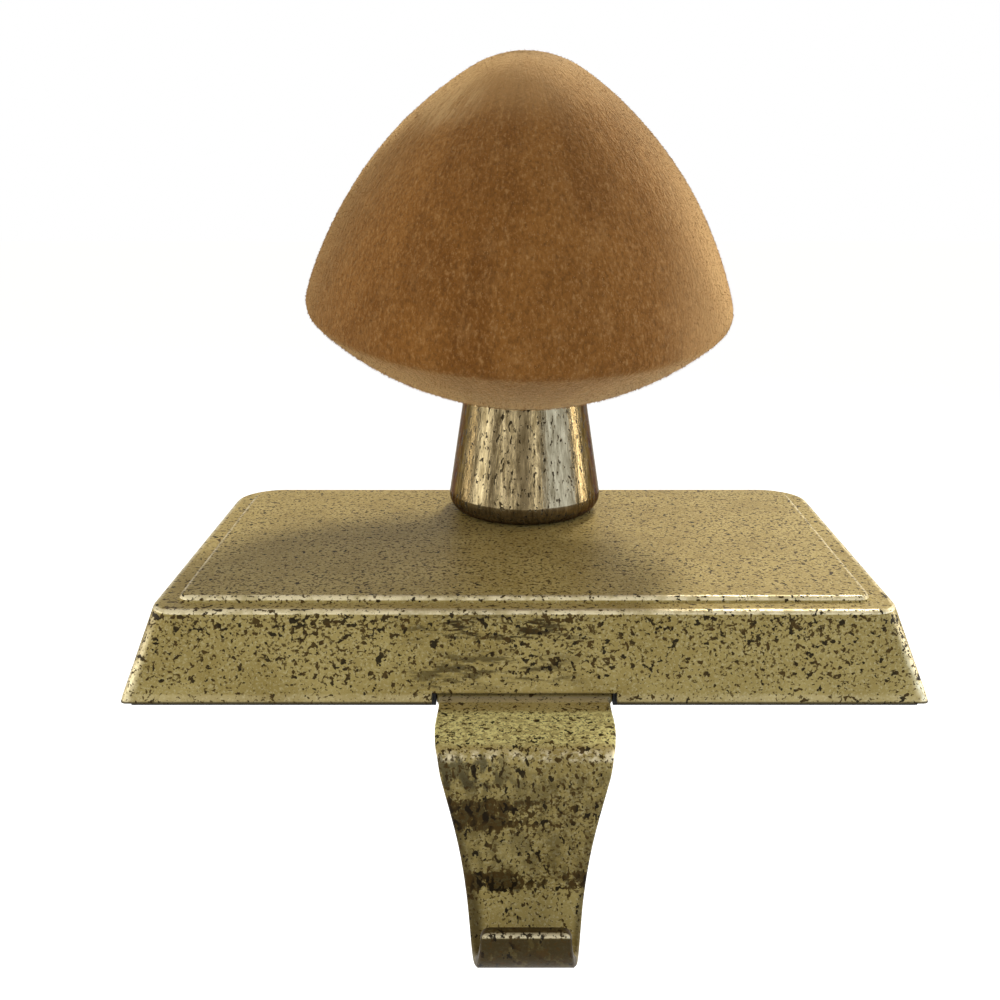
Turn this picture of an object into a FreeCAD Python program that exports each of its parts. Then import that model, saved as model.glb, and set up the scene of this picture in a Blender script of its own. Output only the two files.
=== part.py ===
import FreeCAD, Part
import math
import os
import re
import Sketcher

# A weighted mantel stocking holder: a mushroom on a stamped tray and a hook strap over the mantel's edge.
# The origin is the centre of the pad's underside. X runs to the right, -Y to the front, Z up. Millimetres.

SIZES = {
    # Tray, one stamping: shoulder outline, skirt, lower lip, ledge, bevel and raised panel
    "shoulder_width": 121.0,
    "shoulder_depth": 73.0,
    "skirt_height": 14.2,
    "skirt_flare": 4.1,
    "lip_height": 1.2,
    "lip_flare": 0.35,
    "ledge_width": 3.5,
    "bevel_run": 0.5,
    "panel_rise": 1.0,
    "shoulder_corner_radius": 4.5,
    "foot_corner_radius": 1.2,
    "panel_corner_radius": 2.2,
    "back_corner_radius": 9.0,
    "shoulder_round": 0.7,
    "panel_round": 0.4,
    "cove_round": 0.3,
    "sheet_thickness": 0.8,
    "notch_top_gap": 0.5,
    "notch_side_gap": 0.7,
    # Non-slip pad, which stands proud of the skirt
    "pad_thickness": 2.0,
    "pad_proud": 0.9,
    "pad_gap": 0.2,
    "pad_slot_gap": 0.5,
    # Cast slab that fills the tray
    "slab_gap": 0.5,
    "slab_top_gap": 0.4,
    "slab_front_corner_radius": 4.0,
    "slab_edge_chamfer": 1.2,
    "least_corner_radius": 0.4,
    "boss_diameter": 25.4,
    # Hook, one bent strap
    "strap_thickness": 1.8,
    "strap_width": 28.3,
    "strap_arm_width": 27.4,
    "strap_bend_width": 26.6,
    "strap_drop_width": 24.8,
    "strap_bend_radius": 2.2,
    "strap_edge_break": 0.3,
    "arm_inlet": 2.0,
    "arm_reach": 18.8,
    "tail_length": 38.0,
    "tail_corner_radius": 5.0,
    "hook_drop": 28.3,
    "hook_inner_radius": 5.2,
    "hook_low_width": 17.7,
    "lip_rise": 1.9,
    "lip_width": 12.9,
    "lip_corner_radius": 1.4,
    # Screws and washer
    "hook_screw_diameter": 4.0,
    "hook_screw_length": 9.0,
    "hook_screw_head_diameter": 7.0,
    "hook_screw_head_height": 1.5,
    "hook_screw_spacing": 20.0,
    "hook_screw_setback": 9.0,
    "stalk_screw_diameter": 6.0,
    "stalk_screw_length": 25.0,
    "stalk_screw_head_diameter": 11.5,
    "stalk_screw_head_height": 3.6,
    "stalk_screw_head_chamfer": 0.8,
    "washer_diameter": 13.0,
    "washer_thickness": 1.6,
    "screw_hole_gap": 0.3,
    "thread_gap": 0.05,
    "counterbore_gap": 1.0,
    "head_cover_gap": 0.3,
    "drill_room": 2.0,
    "cross_width": 1.1,
    "cross_span": 3.8,
    "cross_depth": 1.0,
    # Stalk, a turned cone with a rounded foot
    "stalk_offset_x": 0.5,
    "stalk_offset_y": 18.9,
    "stalk_base_radius": 15.85,
    "stalk_top_radius": 10.2,
    "stalk_height": 36.0,
    "stalk_foot_round": 3.5,
    # Cap, a turned dome that leans on the stalk
    "cap_radius": 40.5,
    "cap_height": 44.4,
    "cap_crown_radius": 19.0,
    "cap_flank_radius": 73.0,
    "cap_rim_radius": 1.6,
    "cap_under_depth": 17.1,
    "cap_mouth_radius": 11.5,
    "cap_mouth_height": 26.4,
    "cap_sideways": 1.5,
    "cap_lean_angle": 11.7,
    "cap_roll_angle": 1.8,
    "socket_gap": 0.1,
}

doc = FreeCAD.newDocument("StockingHolder")
sheet = doc.addObject("Spreadsheet::Sheet", "Sizes")
for row, (alias, value) in enumerate(SIZES.items(), start=1):
    sheet.set("A%d" % row, alias)
    sheet.set("B%d" % row, str(value))
    sheet.setAlias("B%d" % row, alias)
doc.recompute()


def sized(text):
    """The text as an expression: each of its snake_case words is a cell of the sheet."""
    return re.sub(r"[a-z]+(_[a-z]+)+", lambda word: "Sizes." + word.group(0), text)


def number(text):
    return float(sheet.evalExpression(sized(text)))


def bind(thing, path, text):
    thing.setExpression(path, sized(text))


# Heights and offsets that several pieces share
Z_LIP_TOP = "(pad_proud + lip_height)"
Z_SHOULDER = "(pad_proud + skirt_height)"
Z_LEDGE_UNDER = "(pad_proud + skirt_height - sheet_thickness)"
Z_PANEL = "(pad_proud + skirt_height + panel_rise)"
Z_SLAB_TOP = "(pad_proud + skirt_height - sheet_thickness - slab_top_gap)"
Z_SEAT = "(pad_thickness + head_cover_gap + stalk_screw_head_height + washer_thickness)"
Z_HEAD_TOP = "(pad_thickness + head_cover_gap + stalk_screw_head_height)"
SKIRT_SLOPE = "(skirt_flare / (skirt_height - lip_height))"
WALL = "(sheet_thickness * sqrt(1 + pow(skirt_flare / (skirt_height - lip_height); 2)))"
FRONT = "(shoulder_depth / 2 + skirt_flare + lip_flare)"
DROP_FACE = "(shoulder_depth / 2 + skirt_flare + lip_flare + arm_reach)"
ARM_MIDDLE = "(shoulder_depth / 2 + skirt_flare + lip_flare + arm_reach / 2 - strap_bend_radius)"
CURL_DEPTH = "(hook_drop - hook_inner_radius - strap_thickness)"
HALF_STRAP = "(strap_thickness / 2)"
THREAD_REACH = "(pad_thickness + head_cover_gap + stalk_screw_head_height + stalk_screw_length)"


def skirt_outset(height):
    """How far the skirt's outer face stands outside the shoulder outline at a height."""
    return "(%s * (%s - %s))" % (SKIRT_SLOPE, Z_SHOULDER, height)


def inner_radius(radius):
    """The radius inside the sheet at a corner whose outer radius is given."""
    return "max(%s - %s; least_corner_radius)" % (radius, WALL)


def new_body(name):
    body = doc.addObject("PartDesign::Body", name)
    body.Label = name
    return body


def new_sketch(body, name, role, offset="0"):
    """A sketch on one of the body's own origin planes, moved along that plane's normal."""
    sketch = body.newObject("Sketcher::SketchObject", name)
    plane = next(item for item in body.Origin.OriginFeatures if item.Role == role)
    sketch.AttachmentSupport = [(plane, "")]
    sketch.MapMode = "FlatFace"
    bind(sketch, "AttachmentOffset.Base.z", offset)
    return sketch


def point(x, y):
    return FreeCAD.Vector(x, y, 0)


def line(sketch, start, end):
    return sketch.addGeometry(Part.LineSegment(point(*start), point(*end)))


def arc(sketch, centre, radius, start_angle, end_angle):
    circle = Part.Circle(point(*centre), FreeCAD.Vector(0, 0, 1), radius)
    return sketch.addGeometry(Part.ArcOfCircle(circle, math.radians(start_angle), math.radians(end_angle)))


def relate(sketch, kind, *where):
    sketch.addConstraint(Sketcher.Constraint(kind, *where))


def measure(sketch, text, kind, *where):
    """A driving dimension bound to the sheet."""
    index = sketch.addConstraint(Sketcher.Constraint(kind, *where, number(text)))
    bind(sketch, "Constraints[%d]" % index, text)


def place(sketch, geometry, end, x=None, y=None):
    """Sets a point's distance from the sketch's origin, to the right and up, or puts it on an axis at 0."""
    for text, kind, axis in ((x, "DistanceX", -2), (y, "DistanceY", -1)):
        if text == "0":
            relate(sketch, "PointOnObject", geometry, end, axis)
        elif text is not None:
            measure(sketch, text, kind, -1, 1, geometry, end)


def minus(text):
    return "(0 - %s)" % text


def chain(sketch, pairs, kind):
    for first, first_end, second, second_end in pairs:
        relate(sketch, kind, first, first_end, second, second_end)


def rounded_outline(sketch, outset, front_radius, back_radius):
    """The tray's plan outline, moved out by outset, with its own front and back corner radii."""
    half_width = "(shoulder_width / 2 + %s)" % outset
    half_depth = "(shoulder_depth / 2 + %s)" % outset
    w, d = number(half_width), number(half_depth)
    f, b = number(front_radius), number(back_radius)
    line(sketch, (f - w, -d), (w - f, -d))
    arc(sketch, (w - f, f - d), f, -90, 0)
    line(sketch, (w, f - d), (w, d - b))
    arc(sketch, (w - b, d - b), b, 0, 90)
    line(sketch, (w - b, d), (b - w, d))
    arc(sketch, (b - w, d - b), b, 90, 180)
    line(sketch, (-w, d - b), (-w, f - d))
    arc(sketch, (f - w, f - d), f, 180, 270)
    chain(sketch, [(side, 2, (side + 1) % 8, 1) for side in range(8)], "Tangent")
    for side in (0, 4):
        relate(sketch, "Horizontal", side)
    for side in (2, 6):
        relate(sketch, "Vertical", side)
    place(sketch, 2, 1, x=half_width)
    place(sketch, 6, 1, x=minus(half_width))
    place(sketch, 0, 1, y=minus(half_depth))
    place(sketch, 4, 1, y=half_depth)
    for corner, radius in ((1, front_radius), (7, front_radius), (3, back_radius), (5, back_radius)):
        measure(sketch, radius, "Radius", corner)


def centred_rectangle(sketch, half_width, low, high):
    """A rectangle about the sketch's vertical axis, from low below the origin to high above it."""
    w, below, above = number(half_width), number(low), number(high)
    corners = [(-w, -below), (w, -below), (w, above), (-w, above)]
    for index in range(4):
        line(sketch, corners[index], corners[(index + 1) % 4])
    chain(sketch, [(side, 2, (side + 1) % 4, 1) for side in range(4)], "Coincident")
    for side, direction in enumerate(("Horizontal", "Vertical", "Horizontal", "Vertical")):
        relate(sketch, direction, side)
    place(sketch, 0, 1, x=minus(half_width), y="0" if low == "0" else minus(low))
    place(sketch, 2, 1, x=half_width, y=high)


def circle_at(sketch, x, y, radius):
    """A circle whose centre is x to the right of the origin and y above it."""
    centre = point(number(x), number(y))
    index = sketch.addGeometry(Part.Circle(centre, FreeCAD.Vector(0, 0, 1), number(radius)))
    measure(sketch, radius, "Radius", index)
    place(sketch, index, 3, x=x, y=y)


def profile(sketch, corners):
    """A closed outline of straight sides, each corner placed by its distances from the origin."""
    places = [(number(x), number(y)) for x, y in corners]
    count = len(places)
    for index in range(count):
        line(sketch, places[index], places[(index + 1) % count])
    chain(sketch, [(side, 2, (side + 1) % count, 1) for side in range(count)], "Coincident")
    for index, (x, y) in enumerate(corners):
        place(sketch, index, 1, x=x, y=y)


def loft(body, kind, name, sketches):
    feature = body.newObject("PartDesign::" + kind, name)
    feature.Profile = sketches[0]
    feature.Sections = [(sketch, [""]) for sketch in sketches[1:]]
    feature.Ruled = True
    doc.recompute()
    return feature


def extrude(body, kind, name, sketch, length=None, **settings):
    """A pad or a pocket. A pocket with no length goes right through."""
    feature = body.newObject("PartDesign::" + kind, name)
    feature.Profile = sketch
    if length is None:
        feature.Type = "ThroughAll"
    else:
        bind(feature, "Length", length)
    for key, value in settings.items():
        setattr(feature, key, value)
    before = body.Shape.Volume if body.Shape.Solids else 0.0
    doc.recompute()
    if kind == "Pocket" and not feature.Shape.Volume < before:
        raise RuntimeError(name + " cuts nothing")
    return feature


def revolve(body, name, sketch):
    feature = body.newObject("PartDesign::Revolution", name)
    feature.Profile = sketch
    feature.ReferenceAxis = (sketch, ["V_Axis"])
    feature.Angle = 360
    doc.recompute()
    return feature


def round_edges(body, name, feature, edges, radius):
    """A fillet on the edges of the feature's shape that are the same as those given."""
    names = []
    for index, edge in enumerate(feature.Shape.Edges, start=1):
        if any(edge.isSame(other) for other in edges):
            names.append("Edge%d" % index)
    fillet = body.newObject("PartDesign::Fillet", name)
    fillet.Base = (feature, names)
    bind(fillet, "Radius", radius)
    doc.recompute()
    return fillet


def level_face(feature, height, pick=max):
    """The flat face at a height. Where there are several, the largest or the smallest."""
    level = number(height)
    faces = []
    for face in feature.Shape.Faces:
        box = face.BoundBox
        if box.ZLength < 1e-4 and abs(box.ZMin - level) < 1e-4:
            faces.append(face)
    return pick(faces, key=lambda face: face.Area)


def make_base_tray():
    body = new_body("base_tray")
    outer_levels = (
        ("LipEdge", "pad_proud", "(skirt_flare + lip_flare)", "foot_corner_radius"),
        ("LipTop", Z_LIP_TOP, "skirt_flare", "foot_corner_radius"),
        ("Shoulder", Z_SHOULDER, "0", "shoulder_corner_radius"),
    )
    outer = []
    for name, height, outset, front_radius in outer_levels:
        sketch = new_sketch(body, name, "XY_Plane", height)
        rounded_outline(sketch, outset, front_radius, "back_corner_radius")
        outer.append(sketch)
    loft(body, "AdditiveLoft", "Skirt", outer)

    panel_corners = ("panel_corner_radius", "(back_corner_radius - ledge_width)")
    panel = []
    for name, height, outset in (
        ("BevelFoot", Z_SHOULDER, "(0 - ledge_width)"),
        ("BevelTop", Z_PANEL, "(0 - ledge_width - bevel_run)"),
    ):
        sketch = new_sketch(body, name, "XY_Plane", height)
        rounded_outline(sketch, outset, *panel_corners)
        panel.append(sketch)
    raised = loft(body, "AdditiveLoft", "RaisedPanel", panel)

    ledge = level_face(raised, Z_SHOULDER)
    smooth = round_edges(body, "ShoulderRound", raised, ledge.OuterWire.Edges, "shoulder_round")
    ledge = level_face(smooth, Z_SHOULDER)
    bevel_foot = next(wire for wire in ledge.Wires if not wire.isSame(ledge.OuterWire))
    smooth = round_edges(body, "BevelCove", smooth, bevel_foot.Edges, "cove_round")
    top = level_face(smooth, Z_PANEL)
    round_edges(body, "PanelRound", smooth, top.OuterWire.Edges, "panel_round")

    foot_inner, back_inner = inner_radius("foot_corner_radius"), inner_radius("back_corner_radius")
    cavity_levels = (
        ("CavityMouth", "pad_proud", "(skirt_flare + lip_flare)", foot_inner),
        ("CavityLip", Z_LIP_TOP, "skirt_flare", foot_inner),
        ("CavityTop", Z_LEDGE_UNDER, skirt_outset(Z_LEDGE_UNDER), inner_radius("shoulder_corner_radius")),
    )
    cavity = []
    for name, height, outset, front_inner in cavity_levels:
        sketch = new_sketch(body, name, "XY_Plane", height)
        rounded_outline(sketch, "(%s - %s)" % (outset, WALL), front_inner, back_inner)
        cavity.append(sketch)
    loft(body, "SubtractiveLoft", "Cavity", cavity)

    step = new_sketch(body, "PanelHollow", "XY_Plane", Z_LEDGE_UNDER)
    step_inset = "(0 - ledge_width - bevel_run - sheet_thickness / 2)"
    rounded_outline(step, step_inset, inner_radius("panel_corner_radius"), back_inner)
    extrude(body, "Pocket", "PanelHollowCut", step, "panel_rise", Reversed=True)

    hole = new_sketch(body, "StalkScrewHole", "XY_Plane", Z_PANEL)
    circle_at(hole, "stalk_offset_x", "stalk_offset_y", "(stalk_screw_diameter / 2 + screw_hole_gap)")
    extrude(body, "Pocket", "StalkScrewHoleCut", hole)

    notch = new_sketch(body, "HookNotch", "XZ_Plane")
    centred_rectangle(notch, "(strap_width / 2 + notch_side_gap)", "0", "(pad_thickness + notch_top_gap)")
    extrude(body, "Pocket", "HookNotchCut", notch, Reversed=True)
    return body


def make_base_pad():
    body = new_body("base_pad")
    outline = new_sketch(body, "Outline", "XY_Plane")
    inset = "(skirt_flare - %s - pad_gap)" % WALL
    corners = []
    for radius in ("foot_corner_radius", "back_corner_radius"):
        corners.append(inner_radius("(%s - pad_gap)" % radius))
    rounded_outline(outline, inset, *corners)
    extrude(body, "Pad", "Sheet", outline, "pad_thickness")

    slot = new_sketch(body, "StrapSlot", "XY_Plane")
    slot_end = "(tail_length - %s + pad_slot_gap)" % FRONT
    past_front = "(%s + pad_slot_gap)" % FRONT
    centred_rectangle(slot, "(strap_width / 2 + pad_slot_gap)", past_front, slot_end)
    extrude(body, "Pocket", "StrapSlotCut", slot, Reversed=True)
    return body


def make_ballast_plate():
    body = new_body("ballast_plate")
    corners = ("slab_front_corner_radius", "(back_corner_radius - %s - slab_gap)" % WALL)
    chamfer_foot = "(%s - slab_edge_chamfer)" % Z_SLAB_TOP
    levels = (
        ("Bottom", "pad_thickness", "slab_gap"),
        ("ChamferFoot", chamfer_foot, "slab_gap"),
        ("Top", Z_SLAB_TOP, "(slab_gap + slab_edge_chamfer)"),
    )
    sections = []
    for name, height, gap in levels:
        sketch = new_sketch(body, name, "XY_Plane", height)
        rounded_outline(sketch, "(%s - %s - %s)" % (skirt_outset(height), WALL, gap), *corners)
        sections.append(sketch)
    loft(body, "AdditiveLoft", "Slab", sections)

    boss = new_sketch(body, "StalkBoss", "XY_Plane", Z_SLAB_TOP)
    circle_at(boss, "stalk_offset_x", "stalk_offset_y", "(boss_diameter / 2)")
    extrude(body, "Pad", "StalkBossPad", boss, "(panel_rise + slab_top_gap)")

    bore = new_sketch(body, "WasherBore", "XY_Plane", "pad_thickness")
    circle_at(bore, "stalk_offset_x", "stalk_offset_y", "(washer_diameter / 2 + counterbore_gap)")
    extrude(body, "Pocket", "WasherBoreCut", bore, "(%s - pad_thickness)" % Z_SEAT, Reversed=True)

    hole = new_sketch(body, "StalkScrewHole", "XY_Plane")
    circle_at(hole, "stalk_offset_x", "stalk_offset_y", "(stalk_screw_diameter / 2 + screw_hole_gap)")
    extrude(body, "Pocket", "StalkScrewHoleCut", hole, Reversed=True)

    threads = new_sketch(body, "HookScrewHole", "XY_Plane", "pad_thickness")
    first_screw(threads, "(hook_screw_diameter / 2 + thread_gap)")
    depth = "(hook_screw_length - strap_thickness + drill_room)"
    drilled = extrude(body, "Pocket", "HookScrewHoleCut", threads, depth, Reversed=True)
    repeat_screws(body, drilled)
    return body


def first_screw(sketch, radius):
    """A circle at the hook screw that is nearer to the tail's end, in front of the origin."""
    circle_at(sketch, "0", "(tail_length - hook_screw_setback - %s)" % FRONT, radius)


def repeat_screws(body, *features):
    """The pair of hook screws, or their holes, in a row along the strap."""
    pattern = body.newObject("PartDesign::LinearPattern", "Pair")
    pattern.Originals = list(features)
    axis = next(item for item in body.Origin.OriginFeatures if item.Role == "Y_Axis")
    pattern.Direction = (axis, [""])
    pattern.Reversed = True
    bind(pattern, "Length", "hook_screw_spacing")
    pattern.Occurrences = 2
    body.Tip = pattern
    doc.recompute()
    return pattern


def strap_path(sketch):
    """The strap's middle line edge-on: arm, bend, drop, J bend and lip. Front is to the left."""
    half, bend, curl = number(HALF_STRAP), number("strap_bend_radius"), number("hook_inner_radius")
    start, face = -number("(%s - arm_inlet)" % FRONT), -number(DROP_FACE)
    arm_z, rise = number("pad_thickness") - half, number("lip_rise")
    bend_y, bend_z = face + bend + 2 * half, arm_z - bend - half
    curl_y, curl_z = face - curl, -number(CURL_DEPTH)
    lip_y = curl_y - curl - half
    middle = -number(ARM_MIDDLE)
    line(sketch, (start, arm_z), (middle, arm_z))
    line(sketch, (middle, arm_z), (bend_y, arm_z))
    arc(sketch, (bend_y, bend_z), bend + half, 90, 180)
    line(sketch, (face + half, bend_z), (face + half, curl_z))
    arc(sketch, (curl_y, curl_z), curl + half, 180, 360)
    line(sketch, (lip_y, curl_z), (lip_y, curl_z + rise))
    relate(sketch, "Coincident", 0, 2, 1, 1)
    chain(sketch, [(1, 2, 2, 1), (2, 2, 3, 1), (3, 2, 4, 2), (4, 1, 5, 1)], "Tangent")
    for flat in (0, 1):
        relate(sketch, "Horizontal", flat)
    for upright in (3, 5):
        relate(sketch, "Vertical", upright)
    measure(sketch, "(strap_bend_radius + %s)" % HALF_STRAP, "Radius", 2)
    measure(sketch, "(hook_inner_radius + %s)" % HALF_STRAP, "Radius", 4)
    place(sketch, 0, 1, x="(arm_inlet - %s)" % FRONT, y="(pad_thickness - %s)" % HALF_STRAP)
    place(sketch, 1, 1, x=minus(ARM_MIDDLE))
    place(sketch, 3, 1, x="(%s - %s)" % (HALF_STRAP, DROP_FACE))
    place(sketch, 4, 3, y=minus(CURL_DEPTH))
    measure(sketch, "lip_rise", "DistanceY", 5, 1, 5, 2)


def strap_section(body, name, role, offset, middle, width, facing):
    """The strap's section with broken edges, square to its middle line. The face that is on top at the
    arm looks up the sketch where facing is 1 and down it where facing is -1."""
    sketch = new_sketch(body, name, role, offset)
    wide, narrow = "(%s / 2)" % width, "(%s / 2 - strap_edge_break)" % width
    thick, thin = HALF_STRAP, "(strap_thickness / 2 - strap_edge_break)"
    up, down = ("+", "-") if facing > 0 else ("-", "+")
    corners = (
        (minus(narrow), down, thick),
        (narrow, down, thick),
        (wide, down, thin),
        (wide, up, thin),
        (narrow, up, thick),
        (minus(narrow), up, thick),
        (minus(wide), up, thin),
        (minus(wide), down, thin),
    )
    profile(sketch, [(x, "(%s %s %s)" % (middle, sign, level)) for x, sign, level in corners])
    return sketch


def lip_corner_waste(sketch):
    """The waste outside the rounded corner at the right of the lip's top."""
    top, spare = "(lip_rise - %s)" % CURL_DEPTH, "strap_thickness"
    half, radius = "(lip_width / 2)", "lip_corner_radius"
    right, high, round_ = number(half), number(top), number(radius)
    far, above = right + number(spare), high + number(spare)
    line(sketch, (right, high - round_), (far, high - round_))
    line(sketch, (far, high - round_), (far, above))
    line(sketch, (far, above), (right - round_, above))
    line(sketch, (right - round_, above), (right - round_, high))
    arc(sketch, (right - round_, high - round_), round_, 0, 90)
    chain(sketch, [(0, 2, 1, 1), (1, 2, 2, 1), (2, 2, 3, 1), (3, 2, 4, 2), (4, 1, 0, 1)], "Coincident")
    for side, direction in enumerate(("Horizontal", "Vertical", "Horizontal", "Vertical")):
        relate(sketch, direction, side)
    place(sketch, 0, 1, x=half, y="(%s - %s)" % (top, radius))
    place(sketch, 1, 2, x="(%s + %s)" % (half, spare), y="(%s + %s)" % (top, spare))
    place(sketch, 4, 2, x="(%s - %s)" % (half, radius), y=top)
    measure(sketch, radius, "Radius", 4)


def make_hook():
    body = new_body("hook")
    flat = new_sketch(body, "TailOutline", "XY_Plane", "(pad_thickness - strap_thickness)")
    arm_start, tail_end = "(%s - arm_inlet)" % FRONT, "(tail_length - %s)" % FRONT
    centred_rectangle(flat, "(strap_width / 2)", arm_start, tail_end)
    tail = extrude(body, "Pad", "Tail", flat, "strap_thickness")
    upright = [edge for edge in tail.Shape.Edges if edge.BoundBox.ZLength > 1e-3]
    end = max(edge.BoundBox.YMin for edge in upright)
    corners = [edge for edge in upright if edge.BoundBox.YMin > end - 1e-4]
    round_edges(body, "TailCorners", tail, corners, "tail_corner_radius")

    path = new_sketch(body, "MiddleLine", "YZ_Plane")
    strap_path(path)
    arm_height = "(pad_thickness - %s)" % HALF_STRAP
    bend_start = "(%s - strap_thickness - strap_bend_radius)" % DROP_FACE
    bend_end = "(pad_thickness - strap_thickness - strap_bend_radius)"
    drop_middle = "(%s - %s)" % (HALF_STRAP, DROP_FACE)
    lip_middle = "(0 - %s - 2 * hook_inner_radius - %s)" % (DROP_FACE, HALF_STRAP)
    curl_start, lip_top = minus(CURL_DEPTH), "(lip_rise - %s)" % CURL_DEPTH
    stations = (
        ("ArmStart", "XZ_Plane", arm_start, arm_height, "strap_width", 1),
        ("ArmMiddle", "XZ_Plane", ARM_MIDDLE, arm_height, "strap_arm_width", 1),
        ("BendStart", "XZ_Plane", bend_start, arm_height, "strap_bend_width", 1),
        ("BendEnd", "XY_Plane", bend_end, drop_middle, "strap_drop_width", -1),
        ("CurlStart", "XY_Plane", curl_start, drop_middle, "hook_low_width", -1),
        ("LipFoot", "XY_Plane", curl_start, lip_middle, "lip_width", 1),
        ("LipTop", "XY_Plane", lip_top, lip_middle, "lip_width", 1),
    )
    sections = [strap_section(body, *station) for station in stations]
    strap = body.newObject("PartDesign::AdditivePipe", "Strap")
    strap.Profile = sections[0]
    strap.Spine = (path, [])
    strap.Sections = [(sketch, [""]) for sketch in sections[1:]]
    strap.Transformation = "Multisection"
    strap.Mode = "Binormal"
    strap.Binormal = FreeCAD.Vector(1, 0, 0)
    doc.recompute()

    waste = new_sketch(body, "LipCornerWaste", "XZ_Plane", minus(lip_middle))
    lip_corner_waste(waste)
    corner_cut = extrude(body, "Pocket", "LipCornerCut", waste, "(2 * strap_thickness)", SideType="Symmetric")
    mirror = body.newObject("PartDesign::Mirrored", "BothCorners")
    mirror.Originals = [corner_cut]
    mirror.MirrorPlane = (next(item for item in body.Origin.OriginFeatures if item.Role == "YZ_Plane"), [""])
    body.Tip = mirror
    doc.recompute()

    holes = new_sketch(body, "ScrewHole", "XY_Plane", "(pad_thickness - strap_thickness)")
    first_screw(holes, "(hook_screw_diameter / 2 + screw_hole_gap)")
    drilled = body.newObject("PartDesign::Hole", "Countersink")
    drilled.Profile = holes
    drilled.Reversed = True
    drilled.DepthType = "ThroughAll"
    drilled.HoleCutType = "Countersink"
    drilled.HoleCutCustomValues = True
    drilled.HoleCutCountersinkAngle = 90
    bind(drilled, "Diameter", "(hook_screw_diameter + 2 * screw_hole_gap)")
    bind(drilled, "HoleCutDiameter", "hook_screw_head_diameter")
    doc.recompute()
    repeat_screws(body, drilled)
    return body


def cross_recess(body):
    """A cross for the driver in the end face of a screw's head, which is at the origin."""
    cuts = []
    bars = (("CrossBar", "cross_span", "cross_width"), ("CrossPost", "cross_width", "cross_span"))
    for name, across, along in bars:
        sketch = new_sketch(body, name, "XY_Plane")
        half = "(%s / 2)" % along
        centred_rectangle(sketch, "(%s / 2)" % across, half, half)
        cuts.append(extrude(body, "Pocket", name + "Cut", sketch, "cross_depth", Reversed=True))
    return cuts


def make_hook_screws():
    body = new_body("hook_screws")
    body.AllowCompound = True
    side = new_sketch(body, "SideView", "XZ_Plane")
    head, shank = "(hook_screw_head_diameter / 2)", "(hook_screw_diameter / 2)"
    corners = (
        ("0", "0"),
        (head, "0"),
        (shank, "hook_screw_head_height"),
        (shank, "hook_screw_length"),
        ("0", "hook_screw_length"),
    )
    profile(side, corners)
    turned = revolve(body, "Screw", side)
    cuts = cross_recess(body)
    repeat_screws(body, turned, *cuts)
    away = "(%s - tail_length + hook_screw_setback)" % FRONT
    bind(body, "Placement.Base.y", "(0 - %s)" % away)
    bind(body, "Placement.Base.z", "(pad_thickness - strap_thickness)")
    return body


def make_stalk_screw():
    body = new_body("stalk_screw")
    side = new_sketch(body, "SideView", "XZ_Plane")
    head, shank = "(stalk_screw_head_diameter / 2)", "(stalk_screw_diameter / 2)"
    length = "(stalk_screw_head_height + stalk_screw_length)"
    corners = (
        ("0", "0"),
        ("(%s - stalk_screw_head_chamfer)" % head, "0"),
        (head, "stalk_screw_head_chamfer"),
        (head, "stalk_screw_head_height"),
        (shank, "stalk_screw_head_height"),
        (shank, length),
        ("0", length),
    )
    profile(side, corners)
    revolve(body, "Screw", side)
    cross_recess(body)
    at_stalk(body, "(pad_thickness + head_cover_gap)")
    return body


def make_stalk_washer():
    body = new_body("stalk_washer")
    ring = new_sketch(body, "Ring", "XY_Plane")
    circle_at(ring, "0", "0", "(washer_diameter / 2)")
    circle_at(ring, "0", "0", "(stalk_screw_diameter / 2 + screw_hole_gap)")
    extrude(body, "Pad", "Washer", ring, "washer_thickness")
    at_stalk(body, Z_HEAD_TOP)
    return body


def at_stalk(body, height):
    bind(body, "Placement.Base.x", "stalk_offset_x")
    bind(body, "Placement.Base.y", "stalk_offset_y")
    bind(body, "Placement.Base.z", height)


def make_stalk():
    body = new_body("stalk")
    side = new_sketch(body, "SideView", "XZ_Plane")
    corners = (
        ("0", "0"),
        ("stalk_base_radius", "0"),
        ("stalk_top_radius", "stalk_height"),
        ("0", "stalk_height"),
    )
    profile(side, corners)
    turned = revolve(body, "Cone", side)
    round_edges(body, "FootRound", turned, level_face(turned, "0").OuterWire.Edges, "stalk_foot_round")
    thread = new_sketch(body, "ScrewHole", "XY_Plane")
    circle_at(thread, "0", "0", "(stalk_screw_diameter / 2 + thread_gap)")
    depth = "(%s - %s + drill_room)" % (THREAD_REACH, Z_PANEL)
    extrude(body, "Pocket", "ScrewHoleCut", thread, depth, Reversed=True)
    at_stalk(body, Z_PANEL)
    return body


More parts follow.
